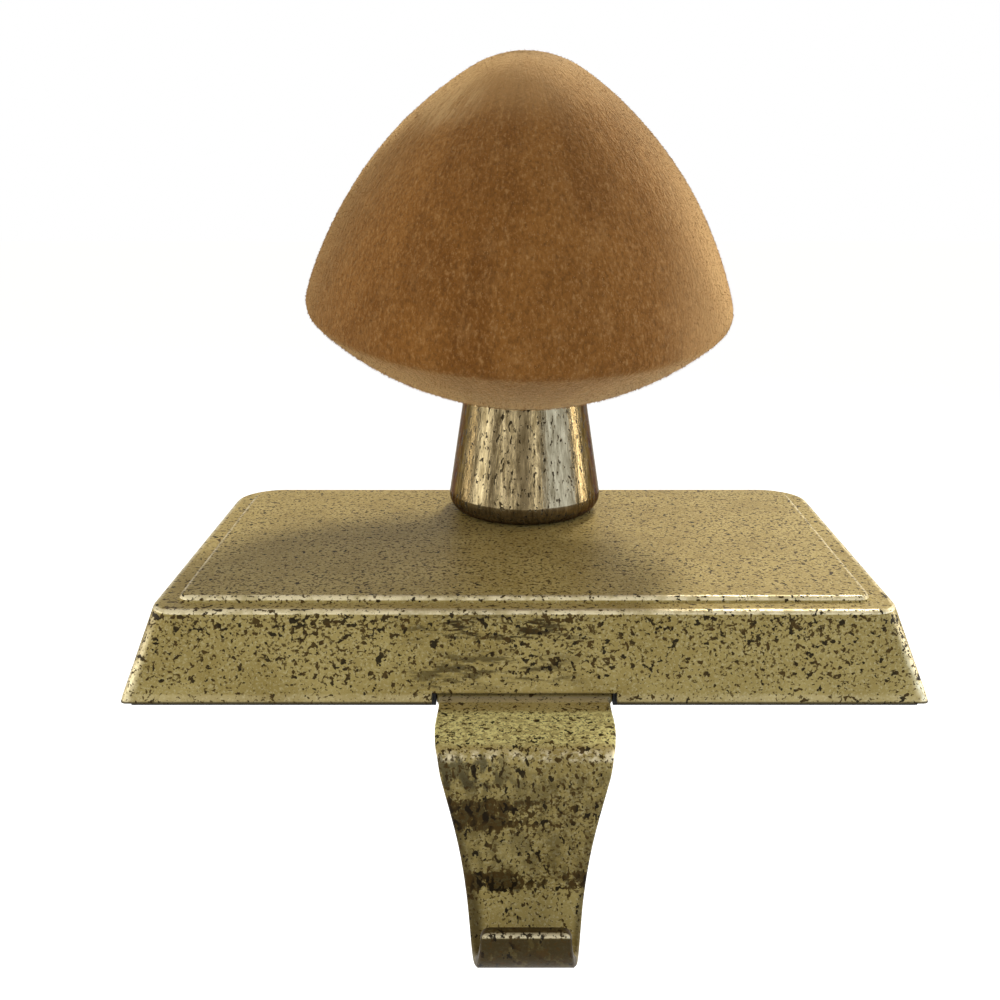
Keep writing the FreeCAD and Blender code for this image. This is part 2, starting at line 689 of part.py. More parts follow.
def cap_profile(sketch):
    """Half the cap's section about its own axis: crown, flank, rim and underside as tangent arcs."""
    radius, height = number("cap_radius"), number("cap_height")
    crown, flank, rim = number("cap_crown_radius"), number("cap_flank_radius"), number("cap_rim_radius")
    mouth, depth = number("cap_mouth_radius"), number("cap_under_depth")
    crown_z, rim_x = height - crown, radius - rim
    # the flank's centre is flank - crown from the crown's centre and flank - rim from the rim's centre
    flank_centre = meeting_point((0.0, crown_z), flank - crown, (rim_x, 0.0), flank - rim)
    # the underside's centre is on the axis, as far from the mouth's edge as from the rim's far side
    under_centre = (0.0, under_centre_height(mouth, depth, rim_x, rim))
    under = math.hypot(mouth, under_centre[1] + depth)
    shoulder = bearing(flank_centre, (0.0, crown_z))
    cheek = bearing(flank_centre, (rim_x, 0.0))
    chin = bearing(under_centre, (rim_x, 0.0))
    lower = bearing(under_centre, (mouth, -depth))
    line(sketch, (0, -depth), (0, height))
    arc(sketch, (0, crown_z), crown, shoulder, 90)
    arc(sketch, flank_centre, flank, cheek, shoulder)
    arc(sketch, (rim_x, 0), rim, chin, cheek)
    arc(sketch, under_centre, under, lower, chin)
    line(sketch, (mouth, -depth), (0, -depth))
    chain(sketch, [(0, 2, 1, 2), (4, 1, 5, 1), (5, 2, 0, 1)], "Coincident")
    chain(sketch, [(1, 1, 2, 2), (2, 1, 3, 2), (3, 1, 4, 2)], "Tangent")
    relate(sketch, "Horizontal", 5)
    place(sketch, 0, 1, x="0")
    place(sketch, 0, 2, x="0", y="cap_height")
    place(sketch, 1, 3, x="0")
    place(sketch, 3, 3, x="(cap_radius - cap_rim_radius)", y="0")
    place(sketch, 4, 3, x="0")
    place(sketch, 5, 1, x="cap_mouth_radius", y=minus("cap_under_depth"))
    for index, name in ((1, "cap_crown_radius"), (2, "cap_flank_radius"), (3, "cap_rim_radius")):
        measure(sketch, name, "Radius", index)


def under_centre_height(mouth, depth, rim_x, rim):
    """The height on the axis whose distance to the mouth's edge is its distance to the rim's centre plus
    the rim's radius: (mouth, -depth) and (rim_x, 0) give a quadratic equation."""
    share = (rim_x ** 2 - mouth ** 2 - depth ** 2 + rim ** 2) / (2 * rim)
    slope = depth / rim
    # hypot(rim_x, height) = slope * height - share, squared
    square, linear, rest = slope ** 2 - 1, -2 * slope * share, share ** 2 - rim_x ** 2
    return (math.sqrt(linear ** 2 - 4 * square * rest) - linear) / (2 * square)


def meeting_point(first, first_distance, second, second_distance):
    """The lower of the two points that lie at the two distances from the two points."""
    along_x, along_y = second[0] - first[0], second[1] - first[1]
    gap = math.hypot(along_x, along_y)
    reach = (first_distance ** 2 - second_distance ** 2 + gap ** 2) / (2 * gap)
    rise = math.sqrt(first_distance ** 2 - reach ** 2)
    across_x, across_y = along_y / gap, -along_x / gap
    sides = []
    for side in (rise, -rise):
        x = first[0] + reach * along_x / gap + side * across_x
        y = first[1] + reach * along_y / gap + side * across_y
        sides.append((x, y))
    return min(sides, key=lambda found: found[1])


def bearing(start, end):
    return math.degrees(math.atan2(end[1] - start[1], end[0] - start[0]))


def make_mushroom_cap():
    form = new_body("cap_form")
    side = new_sketch(form, "SideView", "XZ_Plane")
    cap_profile(side)
    revolve(form, "Dome", side)
    turn = "rotation(vector(0; 1; 0); cap_roll_angle) * rotation(vector(1; 0; 0); cap_lean_angle)"
    mouth = "vector(stalk_offset_x - cap_sideways; stalk_offset_y; %s + cap_mouth_height)" % Z_PANEL
    rise = "placement(vector(0; 0; cap_under_depth); rotation(vector(0; 0; 1); 0))"
    bind(form, "Placement", "placement(%s; %s) * %s" % (mouth, turn, rise))

    socket = doc.addObject("Part::Cone", "socket")
    bind(socket, "Radius1", "(stalk_base_radius + socket_gap)")
    bind(socket, "Radius2", "(stalk_top_radius + socket_gap)")
    bind(socket, "Height", "stalk_height")
    at_stalk(socket, Z_PANEL)
    cap = doc.addObject("Part::Cut", "mushroom_cap")
    cap.Label = "mushroom_cap"
    cap.Base = form
    cap.Tool = socket
    doc.recompute()
    return cap


made = [
    make_base_tray(),
    make_base_pad(),
    make_ballast_plate(),
    make_hook(),
    make_hook_screws(),
    make_stalk(),
    make_stalk_washer(),
    make_stalk_screw(),
    make_mushroom_cap(),
]
doc.recompute()

os.makedirs("parts", exist_ok=True)
for item in doc.Objects:
    if "Invalid" in item.State or "Error" in item.State:
        raise RuntimeError("%s is not sound: %s" % (item.Name, item.State))
for node in made:
    if node.Shape.isNull() or not node.Shape.isValid():
        raise RuntimeError(node.Label + " has no valid shape")
for node in made:
    node.Shape.exportStep("parts/%s.step" % node.Label)
    print(node.Label, "solids", len(node.Shape.Solids), "volume", round(node.Shape.Volume, 1))
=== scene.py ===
import math

import bmesh
import bpy
from mathutils import Euler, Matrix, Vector, noise


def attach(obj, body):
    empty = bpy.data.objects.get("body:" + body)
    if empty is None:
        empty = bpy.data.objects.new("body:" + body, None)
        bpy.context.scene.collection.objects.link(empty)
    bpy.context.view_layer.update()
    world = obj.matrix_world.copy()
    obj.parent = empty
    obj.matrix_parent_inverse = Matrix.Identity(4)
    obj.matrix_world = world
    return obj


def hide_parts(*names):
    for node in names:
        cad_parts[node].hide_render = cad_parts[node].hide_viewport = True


# A mantel stocking holder: a velvet mushroom on a gold stalk, on a stamped tray in speckled antique gold,
# with a hook strap that drops over the mantel's edge. Finishes are laid out in millimetres, in the model's
# own frame: x to the right, minus y to the front and z up from the mantel. Meshes and lamps are in metres.

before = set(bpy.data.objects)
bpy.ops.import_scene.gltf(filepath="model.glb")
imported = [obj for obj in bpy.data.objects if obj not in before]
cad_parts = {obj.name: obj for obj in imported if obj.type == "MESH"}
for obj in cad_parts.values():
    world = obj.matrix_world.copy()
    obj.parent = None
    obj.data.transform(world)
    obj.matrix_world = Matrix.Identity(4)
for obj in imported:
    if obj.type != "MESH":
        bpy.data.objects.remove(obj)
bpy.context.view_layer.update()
MM = 0.001
MM_PER_METRE = 1000.0


# Shader building

# A colour Mix node's sockets by number, because its plain number sockets have the same names
MIX_FIRST = 6
MIX_SECOND = 7
MIX_RESULT = 2


def feed(tree, socket, value):
    """Links an output to the socket, or sets its value."""
    if isinstance(value, bpy.types.NodeSocket):
        tree.links.new(value, socket)
    else:
        socket.default_value = value


def add(tree, kind, inputs=None, **settings):
    """A new node with its settings made and its inputs fed."""
    node = tree.nodes.new(kind)
    for name, value in settings.items():
        setattr(node, name, value)
    for name, value in (inputs or {}).items():
        feed(tree, node.inputs[name], value)
    return node


def calc(tree, operation, first, second=0.0, third=0.0):
    return add(tree, "ShaderNodeMath", {0: first, 1: second, 2: third}, operation=operation).outputs[0]


def vector_calc(tree, operation, inputs):
    return add(tree, "ShaderNodeVectorMath", inputs, operation=operation).outputs[0]


def times(tree, *factors):
    product = factors[0]
    for factor in factors[1:]:
        product = calc(tree, "MULTIPLY", product, factor)
    return product


def most(tree, *masks):
    top = masks[0]
    for mask in masks[1:]:
        top = calc(tree, "MAXIMUM", top, mask)
    return top


def ramp(tree, value, slope, start):
    """The value times a slope, added to a start."""
    return calc(tree, "MULTIPLY_ADD", value, slope, start)


def outside(tree, mask):
    """1 where the mask is 0, and 0 where it is 1."""
    return calc(tree, "SUBTRACT", 1.0, mask)


def span(tree, value, low, high, start=0.0, end=1.0, kind="SMOOTHSTEP"):
    """The value's place between low and high, given as a number from start to end."""
    inputs = {"Value": value, "From Min": low, "From Max": high, "To Min": start, "To Max": end}
    return add(tree, "ShaderNodeMapRange", inputs, interpolation_type=kind).outputs["Result"]


def between(tree, value, low, high, soft):
    """1 where the value lies between low and high, 0 outside, with soft edges."""
    rise = span(tree, value, low - soft, low + soft)
    fall = span(tree, value, high - soft, high + soft, 1.0, 0.0)
    return times(tree, rise, fall)


def near(tree, spot, centre, inner, outer):
    """1 within the inner distance of a point, 0 past the outer one, in millimetres."""
    gap = add(tree, "ShaderNodeVectorMath", {0: spot, 1: centre}, operation="DISTANCE").outputs["Value"]
    return span(tree, gap, inner, outer, 1.0, 0.0)


def blend(tree, share, first, second):
    """Two colours mixed by a share."""
    node = add(tree, "ShaderNodeMix", data_type="RGBA")
    feed(tree, node.inputs["Factor"], share)
    feed(tree, node.inputs[MIX_FIRST], first)
    feed(tree, node.inputs[MIX_SECOND], second)
    return node.outputs[MIX_RESULT]


def noise_at(tree, vector, scale, detail=2.0, roughness=0.5, distortion=0.0):
    """A cloudy value from 0 to 1, mostly near the middle."""
    inputs = {
        "Vector": vector, "Scale": scale, "Detail": detail, "Roughness": roughness,
        "Distortion": distortion}
    return add(tree, "ShaderNodeTexNoise", inputs).outputs["Fac"]


def stretch(tree, vector, scale, turn=(0.0, 0.0, 0.0), shift=(0.0, 0.0, 0.0)):
    """The vector scaled, turned and shifted. A small scale draws a pattern out along that axis."""
    inputs = {"Vector": vector, "Scale": scale, "Rotation": turn, "Location": shift}
    return add(tree, "ShaderNodeMapping", inputs).outputs["Vector"]


def parts_of(tree, vector):
    parts = add(tree, "ShaderNodeSeparateXYZ", {0: vector}).outputs
    return parts["X"], parts["Y"], parts["Z"]


def place_in_mm(tree):
    """Object coordinates in millimetres."""
    spot = add(tree, "ShaderNodeTexCoord").outputs["Object"]
    return vector_calc(tree, "SCALE", {0: spot, "Scale": MM_PER_METRE})


def colour(red, green, blue):
    """A colour given as it looks on screen, 0 to 255, in the linear values that shaders take."""
    linear = []
    for channel in (red, green, blue):
        share = channel / 255
        linear.append(share / 12.92 if share <= 0.04045 else ((share + 0.055) / 1.055) ** 2.4)
    return (*linear, 1.0)


def new_group(name, inputs, outputs):
    """A shader node group with named sockets. An input is (name, kind, default), an output (name, kind)."""
    group = bpy.data.node_groups.new(name, "ShaderNodeTree")
    for title, kind, default in inputs:
        socket = group.interface.new_socket(title, in_out="INPUT", socket_type="NodeSocket" + kind)
        if default is not None:
            socket.default_value = default
    for title, kind in outputs:
        group.interface.new_socket(title, in_out="OUTPUT", socket_type="NodeSocket" + kind)
    entry = group.nodes.new("NodeGroupInput").outputs
    result = group.nodes.new("NodeGroupOutput").inputs
    return group, entry, result


def use_group(tree, group, inputs):
    node = tree.nodes.new("ShaderNodeGroup")
    node.node_tree = group
    for name, value in inputs.items():
        feed(tree, node.inputs[name], value)
    return node.outputs


def new_material(name, **shader_values):
    """A material with one Principled shader. Its uniform values are set on the shader's own sockets."""
    material = bpy.data.materials.new(name)
    material.use_nodes = True
    tree = material.node_tree
    tree.nodes.clear()
    shader = tree.nodes.new("ShaderNodeBsdfPrincipled")
    out = tree.nodes.new("ShaderNodeOutputMaterial")
    tree.links.new(shader.outputs["BSDF"], out.inputs["Surface"])
    for title, value in shader_values.items():
        shader.inputs[title.replace("_", " ")].default_value = value
    return material, tree, shader


def dent(tree, shader, height, depth_mm, round_edge=None):
    """Feeds a height from 0 to 1 to the shader's normal as a bump of a depth in millimetres. A rounding of
    the sharp edges, by a radius in metres, can go under it."""
    bump = add(tree, "ShaderNodeBump", {"Height": height, "Distance": depth_mm * MM, "Strength": 1.0})
    if round_edge:
        soft = add(tree, "ShaderNodeBevel", {"Radius": round_edge}, samples=6)
        tree.links.new(soft.outputs["Normal"], bump.inputs["Normal"])
    tree.links.new(bump.outputs["Normal"], shader.inputs["Normal"])


# Effects that several finishes share

SPECK_LEVEL_BARE = 0.655
SPECK_LEVEL_FULL = 0.47
SPECK_RIM = 0.035


def make_speckle_group():
    """Ragged specks scattered in space: the high spots of a fine noise, more of them as the coverage rises.
    Vector is in millimetres."""
    inputs = (
        ("Vector", "Vector", None),
        ("Grain", "Float", 1.0),
        ("Coverage", "Float", 0.5),
        ("Raggedness", "Float", 0.7),
    )
    group, entry, result = new_group("Ragged specks", inputs, (("Mask", "Float"), ("Tone", "Float")))
    spots = noise_at(
        group, entry["Vector"], entry["Grain"], detail=2.0, roughness=entry["Raggedness"], distortion=0.15)
    tone = noise_at(group, entry["Vector"], 0.45, detail=1.0)
    rim = span(group, entry["Coverage"], 0.0, 1.0, SPECK_LEVEL_BARE, SPECK_LEVEL_FULL, "LINEAR")
    inner = calc(group, "ADD", rim, SPECK_RIM)
    feed(group, result["Mask"], span(group, spots, rim, inner, kind="LINEAR"))
    feed(group, result["Tone"], span(group, tone, 0.38, 0.62))
    return group


def make_grain_group():
    """Paint with a fine metallic grain: a broad drift of tone and a fine one. Vector is in millimetres."""
    inputs = (("Vector", "Vector", None), ("Grain", "Float", 3.0), ("Drift", "Float", 0.05))
    group, entry, result = new_group("Metallic grain", inputs, (("Fine", "Float"), ("Broad", "Float")))
    fine = noise_at(group, entry["Vector"], entry["Grain"], detail=3.0, roughness=0.65)
    broad = noise_at(group, entry["Vector"], entry["Drift"], detail=4.0, roughness=0.6)
    feed(group, result["Fine"], span(group, fine, 0.3, 0.7, kind="LINEAR"))
    feed(group, result["Broad"], span(group, broad, 0.3, 0.7, kind="LINEAR"))
    return group


SPECKLE = make_speckle_group()
GRAIN = make_grain_group()


# Speckled antique gold, on the tray and the strap

OLIVE_GOLD = colour(182, 159, 94)
OLIVE_SHADE = colour(152, 129, 68)
GOLD_FLAKE = colour(208, 191, 138)
PAINTED_LIGHT_GOLD = colour(240, 226, 148)
# Cream of the edges: partly wear, partly painted highlight
WEAR_AND_HIGHLIGHT_CREAM = colour(222, 208, 170)
SPECK_BLACK = colour(26, 18, 7)
SPECK_BROWN = colour(74, 54, 22)
# Dark patina; it also paints shade along the tray's foot and on the strap's drop, edges and lip.
PATINA_AND_SHADE_BROWN = colour(38, 25, 9)
PATINA_GREY = colour(72, 66, 46)
PAINT_SHINE = 0.05
PAINT_METAL = 0.02
WEAR_AND_HIGHLIGHT_METAL = 0.75
PAINT_ROUGHNESS = 0.36
PAINT_RELIEF_MM = 0.06
EDGE_ROUND = 0.8 * MM
FINE_SPECK_RUN = (1.0, 1.0, 1.15)
FINE_SPECK_TURN = (0.3, 0.2, 0.5)
FINE_SPECK_SHIFT = (7.0, 3.0, 1.0)


def speckled_gold(name, layout, run):
    """Antique gold paint with a fine grain and dark ragged specks. The layout says where the piece has them:
    it gives the cover of large and of fine specks, and the masks of rubbing with painted highlight, of dark
    patina with painted shade, of grey patina, and of painted light. The run draws the large specks out along
    the piece."""
    material, tree, shader = new_material(name, Specular_IOR_Level=PAINT_SHINE)
    spot = place_in_mm(tree)
    large, small, wear_and_highlight, brown, grey, painted_light = layout(tree, spot)
    grain = use_group(tree, GRAIN, {"Vector": spot, "Grain": 2.4, "Drift": 0.09})
    base = blend(tree, grain["Broad"], OLIVE_SHADE, OLIVE_GOLD)
    flake = span(tree, grain["Fine"], 0.45, 1.0, 0.0, 0.55)
    # The cream coat on the edges is partly wear and partly painted highlight, the painted light coat lightens
    # the strap's arm, and the dark patina coat also paints shade.
    coats = (
        (flake, 1.0, GOLD_FLAKE),
        (painted_light, 1.0, PAINTED_LIGHT_GOLD),
        (wear_and_highlight, 0.8, WEAR_AND_HIGHLIGHT_CREAM),
        (grey, 0.85, PATINA_GREY),
        (brown, 0.9, PATINA_AND_SHADE_BROWN),
    )
    for mask, strength, tone in coats:
        base = blend(tree, times(tree, mask, strength), base, tone)
    coarse = use_group(tree, SPECKLE, {
        "Vector": stretch(tree, spot, run), "Grain": 1.12, "Coverage": large, "Raggedness": 0.5})
    fine = use_group(tree, SPECKLE, {
        "Vector": stretch(tree, spot, FINE_SPECK_RUN, FINE_SPECK_TURN, FINE_SPECK_SHIFT),
        "Grain": 1.9, "Coverage": small, "Raggedness": 0.5})
    base = blend(tree, times(tree, fine["Mask"], 0.82), base, SPECK_BROWN)
    speck_tone = blend(tree, coarse["Tone"], SPECK_BLACK, SPECK_BROWN)
    base = blend(tree, times(tree, coarse["Mask"], 0.95), base, speck_tone)
    feed(tree, shader.inputs["Base Color"], base)
    specks = most(tree, coarse["Mask"], fine["Mask"], times(tree, brown, 0.8))
    gilt = ramp(tree, wear_and_highlight, WEAR_AND_HIGHLIGHT_METAL, PAINT_METAL)
    feed(tree, shader.inputs["Metallic"], times(tree, gilt, outside(tree, specks)))
    rough = ramp(tree, grain["Fine"], 0.14, PAINT_ROUGHNESS)
    rough = ramp(tree, wear_and_highlight, -0.1, rough)
    feed(tree, shader.inputs["Roughness"], ramp(tree, specks, 0.06, rough))
    relief = ramp(tree, specks, -0.5, times(tree, grain["Fine"], 0.35))
    dent(tree, shader, relief, PAINT_RELIEF_MM, EDGE_ROUND)
    return material


# The tray's level bands: foot, top and softness, in millimetres above the mantel
LOWER_LIP = (0.6, 2.3, 0.25)
UNDER_SHOULDER = (11.6, 14.3, 0.9)
SHOULDER = (14.5, 15.05, 0.04)
LEDGE = (15.0, 15.3, 0.04)
AROUND_LEDGE = (14.95, 15.6, 0.2)
BEVEL = (15.45, 16.05, 0.03)

# Heights between which one part of the tray gives way to the next
HEM_END = (1.05, 1.3)
LOW_SKIRT = (2.0, 8.0)
SKIRT_END = (14.4, 14.9)
PANEL_START = (15.7, 16.0)

# How far the drafted skirt stands out: its slope with height, and its reach at the mantel
SKIRT_SLOPE = -0.29
SKIRT_REACH = 4.3

# Windows on the tray's front: left, right, side softness, foot, top and level softness. Each smear has a
# strength too.
SMEARS = (
    ((-18.0, 7.5, 6.0, 10.3, 14.2, 1.0), 1.0),
    ((-19.0, 8.0, 7.0, 3.6, 8.6, 1.5), 0.7),
    ((-15.0, -8.5, 1.5, 1.8, 4.2, 0.6), 1.0),
)
BARE_STRIP = (-6.5, 13.5, 2.5, 1.6, 4.6, 0.8)
FRONT_SIDE = (-20.0, -30.0)

# Where the edges with wear and painted highlight start and are whole, in millimetres from the middle. The
# skirt's corners and the ledge are measured with the skirt's flare taken off.
CORNER_SIDE = (58.4, 60.0)
CORNER_FRONT = (34.2, 35.8)
LEDGE_FRONT = (35.4, 36.2)
LEDGE_SIDE = (59.6, 60.2)
PANEL_FRONT = (-31.8, -32.3)
PANEL_SIDE = (55.9, 56.3)


def on_front(tree, x, z, window):
    """1 within a window on the tray's front, with soft edges."""
    left, right, side_soft, foot, top, level_soft = window
    return times(tree, between(tree, x, left, right, side_soft), between(tree, z, foot, top, level_soft))


def tray_layout(tree, spot):
    """Specks crowd under the shoulder and thin out low down, with smears in the middle of the front. The
    panel has fine short ones. The bevel, the shoulder, the corners and the lower lip are lightened, partly by
    wear and partly as painted highlight, and a dark line along the foot is painted shade."""
    x, y, z = parts_of(tree, spot)
    on_panel = span(tree, z, *PANEL_START)
    on_skirt = span(tree, z, *SKIRT_END, 1.0, 0.0)
    low = span(tree, z, *LOW_SKIRT, 0.5, 1.0)
    skirt_cover = ramp(tree, between(tree, z, *UNDER_SHOULDER), 0.17, times(tree, low, 0.41))
    bare = on_front(tree, x, z, BARE_STRIP)
    skirt_cover = times(tree, skirt_cover, on_skirt, ramp(tree, bare, -0.8, 1.0))
    cover = calc(tree, "ADD", skirt_cover, times(tree, between(tree, z, *AROUND_LEDGE), 0.3))
    patch = span(tree, noise_at(tree, spot, 0.09, detail=3.0), 0.34, 0.66, 0.72, 1.2, "LINEAR")
    large = times(tree, patch, ramp(tree, on_panel, 0.27, cover))
    small = times(tree, patch, ramp(tree, on_panel, 0.44, times(tree, cover, 0.95)))

    streaky = noise_at(tree, stretch(tree, spot, (0.16, 0.5, 0.75)), 1.0, detail=4.0, roughness=0.7)
    smears = [times(tree, on_front(tree, x, z, window), strength) for window, strength in SMEARS]
    middle = times(tree, most(tree, *smears), span(tree, y, *FRONT_SIDE))
    # A dark line along the foot of the skirt: painted shade under the base.
    hem = times(tree, span(tree, z, *HEM_END, 1.0, 0.0), 0.85)
    brown = most(tree, times(tree, middle, span(tree, streaky, 0.51, 0.6)), hem)
    grey = times(tree, middle, span(tree, streaky, 0.46, 0.56), 0.35)

    patchy = span(tree, noise_at(tree, spot, 0.35, detail=4.0, roughness=0.7), 0.36, 0.58)
    flare = ramp(tree, z, SKIRT_SLOPE, SKIRT_REACH)
    across = calc(tree, "ABSOLUTE", x)
    side = calc(tree, "SUBTRACT", across, flare)
    front = calc(tree, "SUBTRACT", times(tree, y, -1.0), flare)
    corner = times(tree, span(tree, side, *CORNER_SIDE), span(tree, front, *CORNER_FRONT))
    panel_rim = most(tree, span(tree, y, *PANEL_FRONT), span(tree, across, *PANEL_SIDE, 0.0, 0.6))
    ledge_rim = most(tree, span(tree, front, *LEDGE_FRONT), span(tree, side, *LEDGE_SIDE, 0.0, 0.7))
    # Lightened edges: partly wear, partly painted highlight on the edges that face the light from behind.
    edges = most(
        tree, between(tree, z, *BEVEL), between(tree, z, *SHOULDER), times(tree, corner, 0.8),
        times(tree, on_panel, panel_rim), times(tree, between(tree, z, *LEDGE), ledge_rim),
        times(tree, between(tree, z, *LOWER_LIP), 0.22))
    wear_and_highlight = times(tree, edges, ramp(tree, patchy, 0.55, 0.45))
    return large, small, wear_and_highlight, brown, grey, 0.0


# The strap's bands across the drop: foot, top and softness, in millimetres above the mantel
UPPER_BAND = (-10.6, -5.2, 0.9)
LOWER_BAND = (-20.6, -17.2, 0.8)
DROP_FACE = (-19.0, -1.0, 2.0)
BEND_SHOULDER = (-3.6, 1.2, 0.7)
BEND_EDGE = (0.4, 1.5, 0.3)
LIP_RIM = (-19.9, -19.2, 0.15)

# The arm's stretch that is painted lit, and its root in the notch: front, back and softness
ARM_LIT = (-56.5, -46.0, 1.0)
ARM_ROOT = (-42.6, -40.6, 0.4)

# Places, along y, between which one part of the strap gives way to the next, and heights for the others
ARM_SPECK_START = (-42.0, -46.0)
BEND_START = (-56.9, -57.6)
DROP_START = (-58.5, -57.0)
PAST_BEND = (-57.6, -58.4)
LIP_START = (-68.6, -67.4)
LIP_FRONT = (-71.5, -71.2)
ARM_HEIGHT = (1.0, 1.8)
EDGE_PATINA_AND_SHADE_TOP = (-3.0, -6.0)
LIP_FACE_TOP = (-19.7, -20.1)
CURL_TOP = (-22.0, -24.0)

# The strap's half width: how it grows with height, and what it is at the mantel
STRAP_TAPER = 0.19
STRAP_HALF = 12.9


def strap_layout(tree, spot):
    """Painted light on the arm, bands of dark patina across the drop, and darkening of the drop's face, its
    edges and the lip that is partly patina and partly painted shade. The bend, the arm's root and the lip's
    rim are lightened by wear and painted highlight.
    """
    x, y, z = parts_of(tree, spot)
    ragged = noise_at(tree, stretch(tree, spot, (0.55, 0.55, 0.3)), 1.0, detail=4.0, roughness=0.65)
    ragged = span(tree, ragged, 0.36, 0.64, kind="LINEAR")
    on_arm = span(tree, z, *ARM_HEIGHT)
    on_drop = span(tree, y, *DROP_START, 1.0, 0.0)
    on_lip = span(tree, y, *LIP_START, 1.0, 0.0)
    off_lip = outside(tree, on_lip)

    left = span(tree, x, -5.0, 6.0, 1.0, 0.35)
    both_sides = most(tree, left, span(tree, x, 4.0, 7.5, 0.3, 0.95))
    low_left = times(tree, span(tree, x, -9.4, -7.4, 1.0, 0.0), span(tree, z, -24.0, -19.0, 1.0, 0.0))
    bands = most(
        tree, times(tree, between(tree, z, *UPPER_BAND), left),
        times(tree, between(tree, z, *LOWER_BAND), both_sides), times(tree, low_left, 0.9))
    stained = times(tree, bands, on_drop, off_lip)
    ragged_stain = times(tree, span(tree, ramp(tree, ragged, 0.9, stained), 0.9, 1.4), 0.95)
    # The drop's front face is darkened: painted shade where it turns from the light, broken up with patina.
    drop_shade_and_patina = times(tree, on_drop, between(tree, z, *DROP_FACE), span(tree, ragged, 0.2, 0.8, 0.25, 0.6))
    half = ramp(tree, z, STRAP_TAPER, STRAP_HALF)
    # Darker bands along the strap's edges, wider on the left: patina and painted shade, with the light coming
    # from the right.
    left_edge = span(tree, calc(tree, "ADD", x, half), 0.9, 2.6, 1.0, 0.0)
    right_edge = span(tree, calc(tree, "SUBTRACT", half, x), 0.3, 1.2, 0.7, 0.0)
    edge_patina_and_shade = times(tree, most(tree, left_edge, right_edge), span(tree, z, *EDGE_PATINA_AND_SHADE_TOP), 0.8)
    # The lip's front is darkened: patina and painted shade where it faces down and forward.
    lip_face = most(
        tree, times(tree, on_lip, span(tree, y, *LIP_FRONT, 0.25, 1.0)),
        times(tree, on_lip, span(tree, z, *LIP_FACE_TOP)))
    lip_patina_and_shade = times(tree, lip_face, span(tree, ragged, 0.05, 0.45, 0.88, 1.0))
    brown = most(tree, ragged_stain, lip_patina_and_shade, drop_shade_and_patina, edge_patina_and_shade)
    left_of_middle = span(tree, x, -6.0, 0.0, 1.0, 0.15)
    shoulder = times(tree, between(tree, z, *BEND_SHOULDER), span(tree, y, *PAST_BEND), left_of_middle)
    grey = times(tree, shoulder, span(tree, ragged, 0.25, 0.75), 0.9)

    patchy = span(tree, noise_at(tree, spot, 0.5, detail=4.0, roughness=0.7), 0.42, 0.6)
    # The bend, the arm's root and the lip's rim are lightened: wear and painted highlight.
    bend_edge = times(tree, between(tree, z, *BEND_EDGE), span(tree, y, *BEND_START), patchy)
    arm_root = times(tree, between(tree, y, *ARM_ROOT), 0.8)
    lip_rim = times(tree, span(tree, y, LIP_FRONT[1], LIP_FRONT[0]), between(tree, z, *LIP_RIM))
    wear_and_highlight = most(tree, bend_edge, arm_root, lip_rim)
    # The arm's lit stretch is lightened: painted light where the cap's shadow falls.
    arm_light_breakup = span(tree, noise_at(tree, spot, 1.2, detail=3.0, roughness=0.7), 0.42, 0.58, 0.3, 1.0)
    painted_light = times(tree, between(tree, y, *ARM_LIT), on_arm, arm_light_breakup)

    smooth_curl = times(tree, span(tree, z, *CURL_TOP), off_lip)
    cover = times(
        tree, ramp(tree, on_arm, -0.05, 0.37), ramp(tree, smooth_curl, -0.5, 1.0),
        span(tree, y, *ARM_SPECK_START, 0.55, 1.0))
    cover = ramp(tree, stained, 0.5, cover)
    return cover, times(tree, cover, 1.1), wear_and_highlight, brown, grey, painted_light


# Brushed gold, on the stalk

STALK_TINT = colour(150, 128, 88)
LACQUER_DARK = colour(90, 76, 50)
LACQUER_LIGHT = colour(142, 125, 92)
LACQUER_METAL = 0.85
LACQUER_ROUGHNESS = 0.12
LACQUER_RELIEF_MM = 0.018


def brushed_stalk(name):
    """Dark gold lacquer over metal, with fine upright streaks and small dark flecks, more of them high up."""
    material, tree, shader = new_material(name, Specular_Tint=STALK_TINT)
    spot = place_in_mm(tree)
    height = parts_of(tree, spot)[2]
    streak = noise_at(tree, stretch(tree, spot, (1.0, 1.0, 0.09)), 1.3, detail=4.0, roughness=0.65)
    tone = span(tree, streak, 0.35, 0.65, kind="LINEAR")
    base = blend(tree, tone, LACQUER_DARK, LACQUER_LIGHT)
    crowd = span(tree, height, 28.0, 50.0, 0.3, 0.46)
    flecks = use_group(tree, SPECKLE, {
        "Vector": stretch(tree, spot, (1.0, 1.0, 0.45)), "Grain": 1.5, "Coverage": crowd,
        "Raggedness": 0.65})["Mask"]
    base = blend(tree, times(tree, flecks, 0.9), base, SPECK_BLACK)
    feed(tree, shader.inputs["Base Color"], base)
    feed(tree, shader.inputs["Metallic"], ramp(tree, flecks, -0.7, LACQUER_METAL))
    feed(tree, shader.inputs["Roughness"], ramp(tree, flecks, 0.35, LACQUER_ROUGHNESS))
    dent(tree, shader, ramp(tree, flecks, -0.7, tone), LACQUER_RELIEF_MM)
    return material


# Caramel velvet, on the mushroom's cap

CAP_CENTRE_MM = (-0.47, 15.43, 59.24)
CAP_LEAN = math.radians(11.7)
